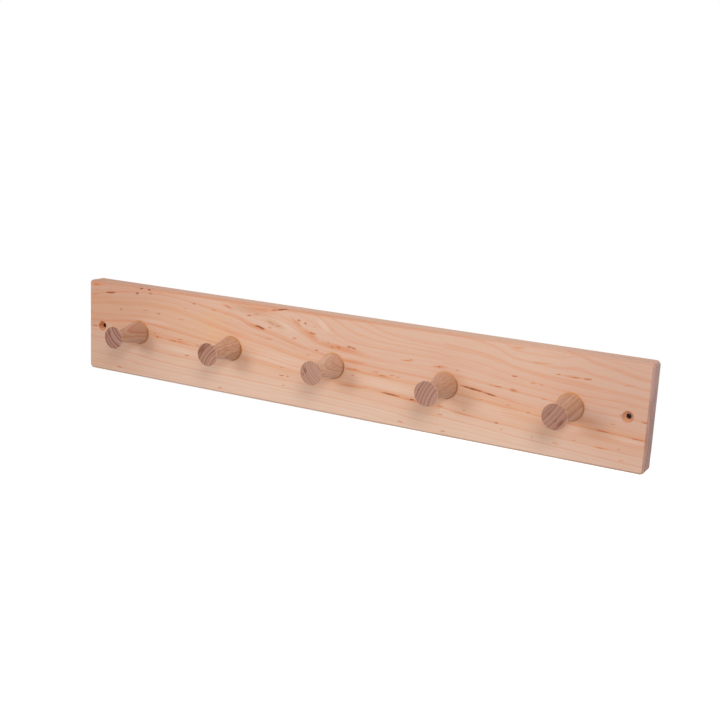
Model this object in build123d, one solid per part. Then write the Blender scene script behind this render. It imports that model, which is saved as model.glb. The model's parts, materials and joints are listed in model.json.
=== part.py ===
from build123d import *
import math
import os

# A Shaker-style wall rail: one plain board carrying a row of turned wooden pegs. Each peg is turned in one
# piece with a round tenon, which is glued into a blind mortise bored in the board's front face. A thin ring
# of cured glue stands round each shoulder. Two countersunk holes take the screws that hold the rail up.
#
# Lengths are millimetres. The origin is the centre of the board's back face: +X runs along the board,
# +Y goes into the wall and +Z is up, so the pegs stand out towards -Y.

# --- Board ---
BOARD_LENGTH = 600.0
BOARD_HEIGHT = 95.0
BOARD_THICKNESS = 18.0
CORNER_RADIUS = 4.0          # corners of the board, seen from the front
FRONT_CHAMFER = 2.0          # sanded bevel round the front face
BACK_CHAMFER = 0.5           # edge only just broken where the board meets the wall
BEVEL_SOFTENING = 0.6        # radius sanded on both edges of the front bevel

# --- Screw holes ---
SCREW_HOLE_DIAMETER = 4.5    # clears a 4 mm wood screw
COUNTERSINK_DIAMETER = 10.2
COUNTERSINK_ANGLE = 82.0     # degrees, the full angle of the bit
SCREW_END_DISTANCE = 18.0    # from each end of the board to the hole's centre

# --- Row of pegs ---
PEG_COUNT = 5
PEG_END_DISTANCE = 67.5      # from each end of the board to the outer peg's centre
PEG_LINE_HEIGHT = 0.0        # height of the pegs and screws above the board's middle

# --- One turned peg, measured out from the board's front face ---
PEG_PROJECTION = 40.0
SHOULDER_DIAMETER = 23.6     # widest part, seated on the board
NECK_DIAMETER = 11.8         # thinnest part, where a loop hangs
COVE_RADIUS = 8.0            # hollow turned between the neck and the head
HEAD_DIAMETER = 22.6
HEAD_RIM = 1.0               # thickness of the head at its edge
HEAD_EASING = 0.4            # rounding at the front of the rim
RIM_EASING = 0.25            # rounding at the back of the rim

# --- Tenon and mortise ---
TENON_DIAMETER = 12.0
TENON_CHAMFER = 1.0          # lead-in turned on the tenon's tip
GLUE_CLEARANCE = 0.1         # radial room for glue between tenon and mortise
MORTISE_END_GAP = 1.0        # room for trapped glue past the tenon's tip
MORTISE_FLOOR = 4.0          # wood left between the mortise and the wall

# --- Glue squeezed out round the shoulder ---
GLUE_BEAD_WIDTH = 0.6
GLUE_BEAD_HEIGHT = 0.9
GLUE_BEAD_BULGE = 0.12       # how far the bead swells past a straight bevel

# --- Worked out from the sizes above ---
BACK = Plane.XZ                                  # local z leaves the wall
FRONT = BACK.offset(BOARD_THICKNESS)
PEG_PITCH = (BOARD_LENGTH - 2 * PEG_END_DISTANCE) / (PEG_COUNT - 1)
FIRST_PEG_X = PEG_END_DISTANCE - BOARD_LENGTH / 2
PEG_CENTRES = [(FIRST_PEG_X + i * PEG_PITCH, PEG_LINE_HEIGHT) for i in range(PEG_COUNT)]
SCREW_X = BOARD_LENGTH / 2 - SCREW_END_DISTANCE
SCREW_CENTRES = [(-SCREW_X, PEG_LINE_HEIGHT), (SCREW_X, PEG_LINE_HEIGHT)]
MORTISE_DEPTH = BOARD_THICKNESS - MORTISE_FLOOR
TENON_LENGTH = MORTISE_DEPTH - MORTISE_END_GAP
SHOULDER_RADIUS = SHOULDER_DIAMETER / 2
NECK_RADIUS = NECK_DIAMETER / 2
HEAD_RADIUS = HEAD_DIAMETER / 2
TENON_RADIUS = TENON_DIAMETER / 2


def taper_and_cove():
    """Angle and end of the straight taper, then the neck and the cove's end: all as (radius, distance)."""
    rim_back = PEG_PROJECTION - HEAD_RIM
    centre_radius = NECK_RADIUS + COVE_RADIUS
    neck_distance = rim_back - math.sqrt(COVE_RADIUS**2 - (centre_radius - HEAD_RADIUS) ** 2)
    to_centre = math.hypot(centre_radius - SHOULDER_RADIUS, neck_distance)
    bearing = math.atan2(centre_radius - SHOULDER_RADIUS, neck_distance)
    taper = bearing - math.asin(COVE_RADIUS / to_centre)
    run = math.sqrt(to_centre**2 - COVE_RADIUS**2)
    taper_end = (SHOULDER_RADIUS + run * math.sin(taper), run * math.cos(taper))
    return taper, taper_end, (NECK_RADIUS, neck_distance), (HEAD_RADIUS, rim_back)


def rail_board():
    """The board, bevelled in front, with a mortise for each peg and two countersunk screw holes."""
    with BuildPart() as board:
        with BuildSketch(BACK):
            RectangleRounded(BOARD_LENGTH, BOARD_HEIGHT, CORNER_RADIUS)
        extrude(amount=BOARD_THICKNESS)
        front_face, *_, back_face = board.faces().sort_by(Axis.Y)
        chamfer(front_face.outer_wire().edges(), FRONT_CHAMFER)
        chamfer(back_face.outer_wire().edges(), BACK_CHAMFER)
        soften_bevel(board)
        with Locations(FRONT):
            with Locations(*PEG_CENTRES):
                Hole(TENON_RADIUS + GLUE_CLEARANCE, depth=MORTISE_DEPTH)
            with Locations(*SCREW_CENTRES):
                CounterSinkHole(
                    SCREW_HOLE_DIAMETER / 2,
                    COUNTERSINK_DIAMETER / 2,
                    depth=BOARD_THICKNESS,
                    counter_sink_angle=COUNTERSINK_ANGLE,
                )
    return board.part


def soften_bevel(board):
    """Rounds both edges of the front bevel, as sandpaper leaves them."""
    front_face = board.faces().sort_by(Axis.Y)[0]
    bevel_end = FRONT_CHAMFER - BOARD_THICKNESS
    side_loop = board.edges().filter_by_position(Axis.Y, bevel_end, bevel_end)
    fillet(front_face.outer_wire().edges() + side_loop, BEVEL_SOFTENING)


def peg():
    """One peg with its tenon, on the local Z axis: the shoulder is at zero and the head points up."""
    _, taper_end, neck, cove_end = taper_and_cove()
    head_corner = (HEAD_RADIUS, PEG_PROJECTION)
    tip = -TENON_LENGTH
    with BuildPart() as turned:
        with BuildSketch(Plane.XZ) as outline:
            with BuildLine():
                Polyline(
                    (0, PEG_PROJECTION),
                    (0, tip),
                    (TENON_RADIUS - TENON_CHAMFER, tip),
                    (TENON_RADIUS, tip + TENON_CHAMFER),
                    (TENON_RADIUS, 0),
                    (SHOULDER_RADIUS, 0),
                    taper_end,
                )
                ThreePointArc(taper_end, neck, cove_end)
                Polyline(cove_end, head_corner, (0, PEG_PROJECTION))
            make_face()
            fillet(outline.vertices().sort_by_distance(head_corner)[0], HEAD_EASING)
            fillet(outline.vertices().sort_by_distance(cove_end)[0], RIM_EASING)
        revolve(axis=Axis.Z)
    return turned.part


def glue_bead():
    """The ring of glue between the board's face and a peg's tapered side, on the local Z axis."""
    taper, *_ = taper_and_cove()
    inner_foot = (SHOULDER_RADIUS, 0)
    outer_foot = (SHOULDER_RADIUS + GLUE_BEAD_WIDTH, 0)
    top = (SHOULDER_RADIUS + GLUE_BEAD_HEIGHT * math.tan(taper), GLUE_BEAD_HEIGHT)
    swell = GLUE_BEAD_BULGE / math.sqrt(2)
    crown = ((outer_foot[0] + top[0]) / 2 + swell, (outer_foot[1] + top[1]) / 2 + swell)
    with BuildPart() as bead:
        with BuildSketch(Plane.XZ):
            with BuildLine():
                Polyline(top, inner_foot, outer_foot)
                ThreePointArc(outer_foot, crown, top)
            make_face()
        revolve(axis=Axis.Z)
    return bead.part


def save(name, solid):
    export_step(solid, f"parts/{name}.step")


os.makedirs("parts", exist_ok=True)
save("rail_board", rail_board())
for number, (x, z) in enumerate(PEG_CENTRES, start=1):
    seat = FRONT * Pos(x, z)
    save(f"peg_{number}", seat * peg())
    save(f"glue_bead_{number}", seat * glue_bead())
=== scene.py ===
# %% [markdown]
# # A wall rail with five turned pegs
# The rail is a sanded board of pale hardwood with five turned pegs glued in and a screw hole near each end.
# Its shapes are finished CAD solids, so they are loaded here and kept, and the work goes into what is seen
# up close: the figure of the wood, the end grain, the bored holes and the glue squeezed out round each peg.
# Blender works in metres. The rail's back lies on the plane Y = 0 and its pegs point to -Y.

# %% Load the rail
import json
import math

import bmesh
import bpy
from mathutils import Matrix, Vector, noise


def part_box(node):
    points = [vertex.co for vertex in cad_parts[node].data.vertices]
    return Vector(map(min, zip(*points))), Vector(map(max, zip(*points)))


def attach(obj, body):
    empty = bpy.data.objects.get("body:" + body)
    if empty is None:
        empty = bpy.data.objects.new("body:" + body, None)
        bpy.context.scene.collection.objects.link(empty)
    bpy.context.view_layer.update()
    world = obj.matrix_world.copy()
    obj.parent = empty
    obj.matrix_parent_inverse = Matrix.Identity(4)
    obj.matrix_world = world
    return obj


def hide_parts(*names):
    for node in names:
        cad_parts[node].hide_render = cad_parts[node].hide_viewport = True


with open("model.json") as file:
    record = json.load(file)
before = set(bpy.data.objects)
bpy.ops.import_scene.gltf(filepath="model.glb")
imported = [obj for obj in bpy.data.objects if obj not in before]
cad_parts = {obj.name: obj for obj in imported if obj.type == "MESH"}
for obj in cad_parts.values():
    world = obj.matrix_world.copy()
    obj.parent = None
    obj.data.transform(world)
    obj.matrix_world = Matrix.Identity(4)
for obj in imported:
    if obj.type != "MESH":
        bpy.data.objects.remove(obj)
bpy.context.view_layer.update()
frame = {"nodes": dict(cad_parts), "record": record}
board = frame["nodes"]["rail_board"]
pegs = [name for name in sorted(frame["nodes"]) if name.startswith("peg_")]
print("loaded the board and", len(pegs), "pegs")

# %% [markdown]
# ## Places on the rail
# Later steps need the same few places: the face of the board, the axis of each peg and the two screw holes.
# They are measured from the CAD here, so nothing drifts from the solids. Wood is described in millimetres,
# because a maker thinks of growth rings and flecks in millimetres.

# %% Measure the board and the pegs
MM = 0.001
board_low, board_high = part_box("rail_board")
FACE_Y = board_low.y
HALF_LENGTH = board_high.x
THICKNESS = (board_high.y - board_low.y) / MM
peg_boxes = {name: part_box(name) for name in pegs}
peg_axes = {name: (low + high) / 2 for name, (low, high) in peg_boxes.items()}
HEAD_Y = peg_boxes["peg_1"][0].y
screw_mount = next(m for m in frame["record"]["mounts"] if m["kind"] == "bolt_pattern")
SCREW_X = screw_mount["dims"]["spacing_x_mm"] * MM / 2
print("face of the board at", round(FACE_Y / MM, 1), "mm, screws at", round(SCREW_X / MM, 1), "mm")

# %% [markdown]
# ## The camera
# A picture of a long rail is usually taken from one end and a little above, so that the pegs stand out from
# the board. The camera is placed by where it stands, the point it aims at and how far it leans to one side.

# %% Place the camera
CAMERA_PLACE = Vector((0.5117, -0.9145, 0.2349))
AIM = Vector((0.0287, -0.0180, 0.0099))
LEAN = math.radians(2.96)
LENS = 56.25

camera_data = bpy.data.cameras.new("camera")
camera_data.lens = LENS
camera = bpy.data.objects.new("camera", camera_data)
bpy.context.scene.collection.objects.link(camera)
facing = (AIM - CAMERA_PLACE).to_track_quat("-Z", "Y").to_matrix().to_4x4()
camera.matrix_world = Matrix.Translation(CAMERA_PLACE) @ facing @ Matrix.Rotation(LEAN, 4, "Z")
bpy.context.scene.camera = camera
print("camera stands", round((AIM - CAMERA_PLACE).length, 2), "m from the board")

# %% [markdown]
# ## Building materials step by step
# A material is a chain of small steps: measure a place, bend it, turn it into a shade, mix two colours. These
# helpers add one step each and return its result, so a recipe for wood reads from top to bottom.

# %% Helpers for material steps
def feed(tree, value, socket):
    """Joins a step's result to an input, or sets the input to a plain value."""
    if isinstance(value, bpy.types.NodeSocket):
        tree.links.new(value, socket)
    elif value is not None:
        socket.default_value = value


def step(tree, kind, *values, **settings):
    """Adds one node with its settings, fills its inputs in order and returns its first result."""
    node = tree.nodes.new("ShaderNode" + kind)
    for setting, choice in settings.items():
        setattr(node, setting, choice)
    for socket, value in zip(node.inputs, values):
        feed(tree, value, socket)
    return node.outputs[0]


def sums(tree, operation, first, second=None, third=None):
    """One step of arithmetic."""
    return step(tree, "Math", first, second, third, operation=operation)


def times(tree, first, second):
    """The product of two steps."""
    return sums(tree, "MULTIPLY", first, second)


def minus(tree, first, second):
    """The first step less the second."""
    return sums(tree, "SUBTRACT", first, second)


def hypotenuse(tree, first, second):
    """Length of the slanted side between two square sides."""
    square = times(tree, second, second)
    return sums(tree, "SQRT", sums(tree, "MULTIPLY_ADD", first, first, square))


def parts(tree, vector):
    """The x, y and z of a place or a direction."""
    return step(tree, "SeparateXYZ", vector).node.outputs


def cloudy(tree, place, grain, detail=3.0, roughness=0.5):
    """Soft noise from 0 to 1. The grain says how fine it is along x, y and z: more is finer."""
    squeezed = step(tree, "VectorMath", place, grain, operation="MULTIPLY")
    return step(tree, "TexNoise", squeezed, None, 1.0, detail, roughness)


def wavering(tree, place, grain):
    """The same noise as a push to and fro, from -0.5 to 0.5."""
    return minus(tree, cloudy(tree, place, grain), 0.5)


def smooth_range(tree, value, low, high, to_low=0.0, to_high=1.0):
    """Turns low..high into to_low..to_high with soft ends."""
    return step(
        tree, "MapRange", value, low, high, to_low, to_high, interpolation_type="SMOOTHSTEP"
    )


def tint(tree, share, under, over, blend="MIX"):
    """Lays one colour over another by a share from 0 to 1."""
    node = tree.nodes.new("ShaderNodeMix")
    node.data_type = "RGBA"
    node.blend_type = blend
    feed(tree, share, node.inputs[0])
    feed(tree, under, node.inputs[6])
    feed(tree, over, node.inputs[7])
    return node.outputs[2]


def rgb(red, green, blue):
    """A colour as painters mix it on a screen, 0 to 255, turned into light."""
    shares = [channel / 255 for channel in (red, green, blue)]
    return tuple(s / 12.92 if s <= 0.04045 else ((s + 0.055) / 1.055) ** 2.4 for s in shares) + (1.0,)


print("helpers ready: a pale board is", [round(c, 2) for c in rgb(224, 184, 160)[:3]])

# %% [markdown]
# ## Starting a material
# Each finish is bare or oiled wood, or dried glue: a single shiny-to-matt surface. One function starts such a
# material, gives the place on the object in millimetres, and hands back the surface so colour can be joined.

# %% Start a material
def new_finish(name, roughness, shine):
    """A fresh material: its tree, its surface and the place on the object in millimetres."""
    material = bpy.data.materials.new(name)
    material.use_nodes = True
    tree = material.node_tree
    surface = tree.nodes["Principled BSDF"]
    surface.inputs["Roughness"].default_value = roughness
    surface.inputs["Specular IOR Level"].default_value = shine
    spot = tree.nodes.new("ShaderNodeTexCoord")
    place = step(tree, "VectorMath", spot.outputs["Object"], operation="SCALE")
    place.node.inputs["Scale"].default_value = 1 / MM
    return material, tree, surface, place, spot.outputs["Normal"]


def raise_grain(tree, surface, height, depth_mm):
    """Lets a shade lift the surface a little, as grain does under sandpaper."""
    bump = tree.nodes.new("ShaderNodeBump")
    bump.inputs["Distance"].default_value = depth_mm * MM
    feed(tree, height, bump.inputs["Height"])
    tree.links.new(bump.outputs["Normal"], surface.inputs["Normal"])


print("finishes can be started")

# %% [markdown]
# ## Growth lines traced on the face
# A board is a slice through a tree, and its lines are where it cuts the yearly rings. A noise can imitate
# them, but here they swing up over the left end, dive past the third peg and run out at the right, and
# that sweep is what the eye remembers. So each strong line is traced as if with a pencil: its height
# at a few places along the board, and how strongly it shows there.

# %% The lines that show
# One list for each line, from the top down: (along the board in mm, height in mm, how strongly it shows)
GROWTH_LINES = [
    # three from above the top edge: only the last comes down onto the face, at the right
    [(-300, 79, 0.3), (300, 75, 0.3)],
    [(-300, 78, 0.3), (150, 74, 0.3), (300, 55, 0.5)],
    [(-300, 76, 0.3), (0, 70, 0.3), (150, 62, 0.3), (220, 51, 0.3), (232, 45, 0.3), (240, 43.5, 0.35),
     (250, 39.8, 0.35), (262, 37.4, 0.3), (270, 36, 0.3), (282, 33.5, 0.35), (290, 32.2, 0.35),
     (300, 31, 0.3)],
    # one that only dips below the top edge for a hand's width, like a smile, and then joins the line above
    [(-300, 73, 0), (0, 63, 0), (150, 53, 0), (165, 48, 0.2), (171, 44.9, 0.3), (176, 42.4, 0.4),
     (184, 40.6, 0.4), (195, 39.9, 0.35), (207, 39.7, 0.3), (219, 40.2, 0.3), (227, 41.6, 0.3),
     (231, 43, 0.3), (236, 43.3, 0.1), (250, 39.5, 0), (262, 37.1, 0), (270, 35.7, 0), (282, 33.2, 0),
     (290, 31.9, 0), (300, 30.7, 0)],
    # four that run down to the right end: three in over the top edge, the last all along the face
    [(-300, 70, 0.3), (-100, 64, 0.3), (0, 57, 0.3), (25, 49, 0.3), (37, 44.5, 0.4), (45, 41.3, 0.4),
     (55, 38.8, 0.4), (70, 36.8, 0.4), (90, 35.3, 0.4), (110, 34.3, 0.4), (130, 32.8, 0.35), (150, 31, 0.3),
     (165, 28.5, 0.35), (180, 25, 0.4), (200, 22, 0.5), (220, 19.7, 0.55), (240, 18.2, 0.45),
     (260, 16.8, 0.45), (280, 16, 0.4), (300, 14.5, 0.4)],
    [(-300, 66, 0.3), (-100, 60, 0.3), (-25, 52, 0.2), (-5, 44.8, 0.4), (5, 40, 0.25), (20, 33, 0.2),
     (40, 29.5, 0.2), (100, 27.5, 0.2), (140, 25, 0.2), (170, 20, 0.3), (200, 15.5, 0.35), (240, 11.3, 0.5),
     (275, 10.8, 0.5), (300, 8.5, 0.4)],
    [(-300, 62, 0.3), (-100, 56, 0.3), (-35, 49.5, 0.3), (-18, 44, 0.55), (-10, 39, 0.55), (0, 31.7, 0.5),
     (10, 27, 0.45), (20, 25, 0.4), (40, 23.4, 0.4), (80, 22.7, 0.35), (115, 21.9, 0.35), (130, 20.5, 0.4),
     (150, 17.5, 0.4), (170, 14, 0.5), (190, 11.2, 0.5), (221, 8.5, 0.45), (245, 6.8, 0.6), (275, 5.2, 0.55),
     (300, 3.3, 0.5)],
    [(-300, 42, 0.4), (-260, 43.3, 0.4), (-215, 44.8, 0.5), (-190, 46, 0.4), (-150, 47.3, 0.3),
     (-110, 47, 0.2), (-97, 44.5, 0.5), (-85, 41.8, 0.5), (-70, 40.6, 0.5), (-60, 38.7, 0.5), (-50, 35.8, 0.6),
     (-43, 32.5, 0.7), (-37, 28, 0.8), (-32, 24.7, 0.8), (-22, 20.5, 0.7), (-10, 17.8, 0.7), (10, 15.3, 0.7),
     (40, 13, 0.6), (60, 12, 0.5), (85, 11.8, 0.4), (105, 10.8, 0.3), (130, 8.8, 0.3), (165, 6.3, 0.4),
     (200, 3.2, 0.5), (225, 1, 0.4), (250, -0.7, 0.3), (275, -1.8, 0.4), (300, -2.8, 0.8)],
    # the strongest line, from end to end
    [(-300, 30.5, 0.8), (-285, 34, 0.8), (-265, 37.7, 0.8), (-240, 40.6, 0.8), (-205, 42, 0.7),
     (-180, 40.7, 0.6), (-160, 38, 0.6), (-140, 35, 0.6), (-122, 32.7, 0.6), (-108, 30, 0.8), (-95, 25, 1.0),
     (-80, 21.8, 1.0), (-60, 18, 1.0), (-45, 14.2, 0.9), (-30, 11, 0.8), (-10, 8.3, 0.8), (10, 6.5, 0.9),
     (30, 5.2, 0.9), (60, 4, 0.8), (100, 3.1, 0.7), (130, 2.4, 0.9), (150, -0.2, 0.9), (170, -3, 0.8),
     (190, -5.6, 0.7), (210, -7.6, 0.7), (245, -9.8, 0.5), (270, -11.3, 0.5), (300, -13.4, 0.5)],
    # below it, lines that arch over the left end and fall to the right
    [(-300, 27, 0.3), (-265, 31.5, 0.5), (-240, 34.3, 0.5), (-212, 36.3, 0.5), (-190, 35.6, 0.4),
     (-165, 32.5, 0.4), (-140, 27.5, 0.4), (-120, 23, 0.6), (-100, 19.3, 0.4), (-80, 15.8, 0.6),
     (-65, 13.8, 0.4), (-40, 9, 0.4), (-10, 4.8, 0.3), (30, 2.4, 0.3), (100, 0.2, 0.1), (150, -3.5, 0.3),
     (208, -10, 0.3), (300, -16, 0.2)],
    [(-300, 21.5, 0.6), (-280, 24.5, 0.6), (-260, 27, 0.6), (-240, 29, 0.6), (-205, 30.2, 0.5),
     (-185, 28.7, 0.5), (-165, 25.3, 0.5), (-145, 20.4, 0.7), (-130, 18, 0.8), (-118, 15.5, 0.8),
     (-100, 12.3, 0.6), (-80, 9.3, 0.5), (-60, 6, 0.5), (-40, 2.3, 0.5), (-12, 0.3, 0.4), (15, -1.2, 0.6),
     (30, -2, 0.8), (60, -3.3, 0.7), (95, -4.8, 0.5), (130, -6.8, 0.7), (160, -9.3, 0.7), (190, -11.3, 0.7),
     (208, -13, 0.8), (232, -14.6, 0.8), (255, -16.2, 0.9), (285, -17.6, 0.8), (300, -18.4, 0.9)],
    [(-300, 4.7, 0.8), (-280, 5.7, 0.8), (-262, 7.5, 0.8), (-240, 9.6, 0.8), (-215, 9.7, 0.9),
     (-200, 8.2, 0.8), (-180, 6.2, 0.7), (-150, 3.2, 0.6), (-100, -0.8, 0.5), (-75, -3.2, 0.5),
     (-50, -6.5, 0.6), (-38, -7.8, 0.5), (0, -9.5, 0.2), (60, -11.5, 0.1), (100, -13, 0.2), (140, -16.8, 0.4),
     (165, -18.2, 0.5), (205, -19.9, 0.4), (240, -22, 0.5), (260, -23.5, 0.5), (300, -25.6, 0.5)],
    [(-300, -2, 0.9), (-289, -1.2, 0.8), (-270, -0.8, 0.3), (-240, -0.3, 0.3), (-215, -1, 0.6),
     (-195, -3, 0.7), (-175, -4.6, 0.7), (-158, -5.6, 0.6), (-130, -7.5, 0.4), (-105, -9.4, 0.6),
     (-85, -10.3, 0.5), (-65, -11.9, 0.5), (-42, -14, 0.5), (-12, -14.8, 0.5), (5, -15.8, 0.5),
     (30, -16.6, 0.5), (50, -17.3, 0.6), (60, -18.2, 0.8), (80, -19.5, 0.9), (100, -20.8, 0.9),
     (115, -21.5, 0.7), (135, -23.6, 0.75), (155, -25.5, 0.7), (172, -26.5, 0.7), (200, -27.8, 0.5),
     (225, -29, 0.4), (250, -30.3, 0.55), (270, -31.3, 0.5), (300, -32.8, 0.4)],
    # the quieter lines along the bottom
    [(-300, -13.5, 0.3), (-270, -14.2, 0.4), (-240, -14.8, 0.5), (-222, -16.2, 0.6), (-205, -18, 0.6),
     (-185, -18.9, 0.6), (-160, -19.3, 0.5), (-135, -19.8, 0.6), (-110, -20.6, 0.6), (-85, -21.5, 0.6),
     (-60, -22.7, 0.6), (-38, -23.2, 0.4), (-10, -23.8, 0.4), (20, -25, 0.4), (40, -26.4, 0.5),
     (60, -27.8, 0.5), (85, -29.2, 0.5), (110, -30.1, 0.5), (130, -31.2, 0.5), (150, -32.6, 0.5),
     (180, -34.6, 0.45), (200, -36, 0.5), (230, -37.8, 0.4), (260, -39.4, 0.45), (300, -41.3, 0.4)],
    [(-300, -22, 0.2), (-265, -23, 0.3), (-240, -24.5, 0.5), (-220, -26.5, 0.6), (-205, -27.4, 0.5),
     (-180, -28.6, 0.4), (-150, -29.5, 0.5), (-125, -29.2, 0.5), (-90, -30, 0.5), (-50, -30.8, 0.4),
     (0, -31.6, 0.5), (30, -32.2, 0.4), (50, -33.2, 0.4), (68, -34.5, 0.5), (90, -37.3, 0.6),
     (110, -38.1, 0.5), (148, -39.4, 0.5), (180, -41.6, 0.5), (230, -44.3, 0.3), (300, -48, 0.3)],
    [(-300, -30, 0.7), (-280, -30.3, 0.7), (-263, -30.8, 0.7), (-240, -33.3, 0.7), (-222, -34.9, 0.7),
     (-205, -35.7, 0.6), (-170, -36, 0.6), (-145, -36.9, 0.7), (-120, -37.8, 0.7), (-90, -38.4, 0.6),
     (-50, -37.8, 0.6), (-20, -37.3, 0.6), (0, -38.1, 0.6), (25, -39.2, 0.6), (50, -40.9, 0.6),
     (65, -42.5, 0.7), (90, -43.6, 0.5), (120, -45.5, 0.3), (200, -50, 0.3), (300, -54, 0.3)],
    [(-300, -40, 0.6), (-275, -40.5, 0.6), (-258, -41.4, 0.6), (-240, -42.5, 0.6), (-210, -43.5, 0.5),
     (-150, -44.4, 0.4), (-60, -45.5, 0.3), (50, -49, 0.3), (300, -60, 0.3)],
    [(-300, -62, 0.3), (300, -70, 0.3)],
]
print(len(GROWTH_LINES), "growth lines traced")

# %% [markdown]
# ## From traced lines to sheets of wood
# A line on the face is the edge of a sheet of wood that goes on into the board, and in this board the
# sheets lean: a step into the board is like a longer step up its face. With that rule the traced face also
# marks the top, the ends and the back. Curve nodes hold the traced points and give 0 to 1, so heights are
# measured as shares of a reach that takes in the whole board.

# %% Find each point's place among the lines
LINE_REACH = 80.0            # mm up and down from the middle of the board that a curve covers
SHEET_LEAN = 1.5             # how many mm up the face one mm into the board is worth
RIPPLE_GRAIN = (0.06, 0.3, 0.3)
RIPPLE = 1.2                 # mm from trough to crest of the ripple in every line


def share_up(height):
    """A height in mm as a share of the reach."""
    return (height + LINE_REACH) / (2 * LINE_REACH)


def through_points(tree, share, points):
    """A smooth curve through traced points, read at a share of the board's length."""
    node = tree.nodes.new("ShaderNodeFloatCurve")
    curve = node.mapping.curves[0]
    curve.points[0].location = points[0]
    curve.points[1].location = points[-1]
    for point in points[1:-1]:
        curve.points.new(*point)
    node.mapping.update()
    feed(tree, share, node.inputs["Value"])
    return node.outputs[0]


def traced_lines(tree, place):
    """Height and strength of every growth line at this place along the board."""
    half = HALF_LENGTH / MM
    share = step(tree, "MapRange", step(tree, "SeparateXYZ", place), -half, half, 0.0, 1.0)
    lines = []
    for rows in GROWTH_LINES:
        heights = [((along + half) / (2 * half), share_up(height)) for along, height, strength in rows]
        strengths = [((along + half) / (2 * half), strength) for along, height, strength in rows]
        lines.append((through_points(tree, share, heights), through_points(tree, share, strengths)))
    return lines


def height_on_face(tree, place):
    """The height at which this point's sheet of wood comes out on the face, as a share of the reach."""
    _, y, z = parts(tree, place)
    inwards = minus(tree, y, FACE_Y / MM)
    height = sums(tree, "MULTIPLY_ADD", inwards, SHEET_LEAN, z)
    height = sums(tree, "MULTIPLY_ADD", wavering(tree, place, RIPPLE_GRAIN), RIPPLE, height)
    return step(tree, "MapRange", height, -LINE_REACH, LINE_REACH, 0.0, 1.0)


def year_here(tree, height, lines):
    """Counts the lines from the top down, with a share of one between two lines."""
    year = 0.0
    for (above, _), (below, _) in zip(lines, lines[1:]):
        year = sums(tree, "ADD", year, step(tree, "MapRange", height, above, below, 0.0, 1.0))
    return year


print("a sheet climbs", round(SHEET_LEAN * THICKNESS, 1), "mm of face on its way through the board")

# %% [markdown]
# ## Late wood
# Each year's growth ends in denser, oranger wood: it builds up over a few millimetres and stops at the line.
# The rings in the pegs are lopsided in the same way, so one helper reads a shade between marked places.

# %% The shape of one line
LINE_SHAPE = [(-0.5, 0.0), (0.1, 1.0), (0.7, 0.62), (2.0, 0.28), (5.5, 0.0)]   # mm above the line, how dark


def shade_between(tree, value, stops):
    """Reads a shade between marked places: stops are (place, shade), in rising order."""
    low, high = stops[0][0], stops[-1][0]
    node = tree.nodes.new("ShaderNodeValToRGB")
    elements = node.color_ramp.elements
    elements.remove(elements[1])
    elements[0].position = 0.0
    elements[0].color = (stops[0][1],) * 3 + (1.0,)
    for place, shade in stops[1:]:
        elements.new((place - low) / (high - low)).color = (shade,) * 3 + (1.0,)
    feed(tree, step(tree, "MapRange", value, low, high, 0.0, 1.0), node.inputs[0])
    return node.outputs[0]


def late_wood_above(tree, height, lines):
    """The darkest late wood of all the traced lines at this point."""
    stops = [(above / (2 * LINE_REACH), shade) for above, shade in LINE_SHAPE]
    darkest = 0.0
    for line, strength in lines:
        shade = shade_between(tree, minus(tree, height, line), stops)
        darkest = sums(tree, "MAXIMUM", darkest, times(tree, shade, strength))
    return darkest


print("a line fades over", LINE_SHAPE[-1][0], "mm above it and", -LINE_SHAPE[0][0], "mm below")
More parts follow.
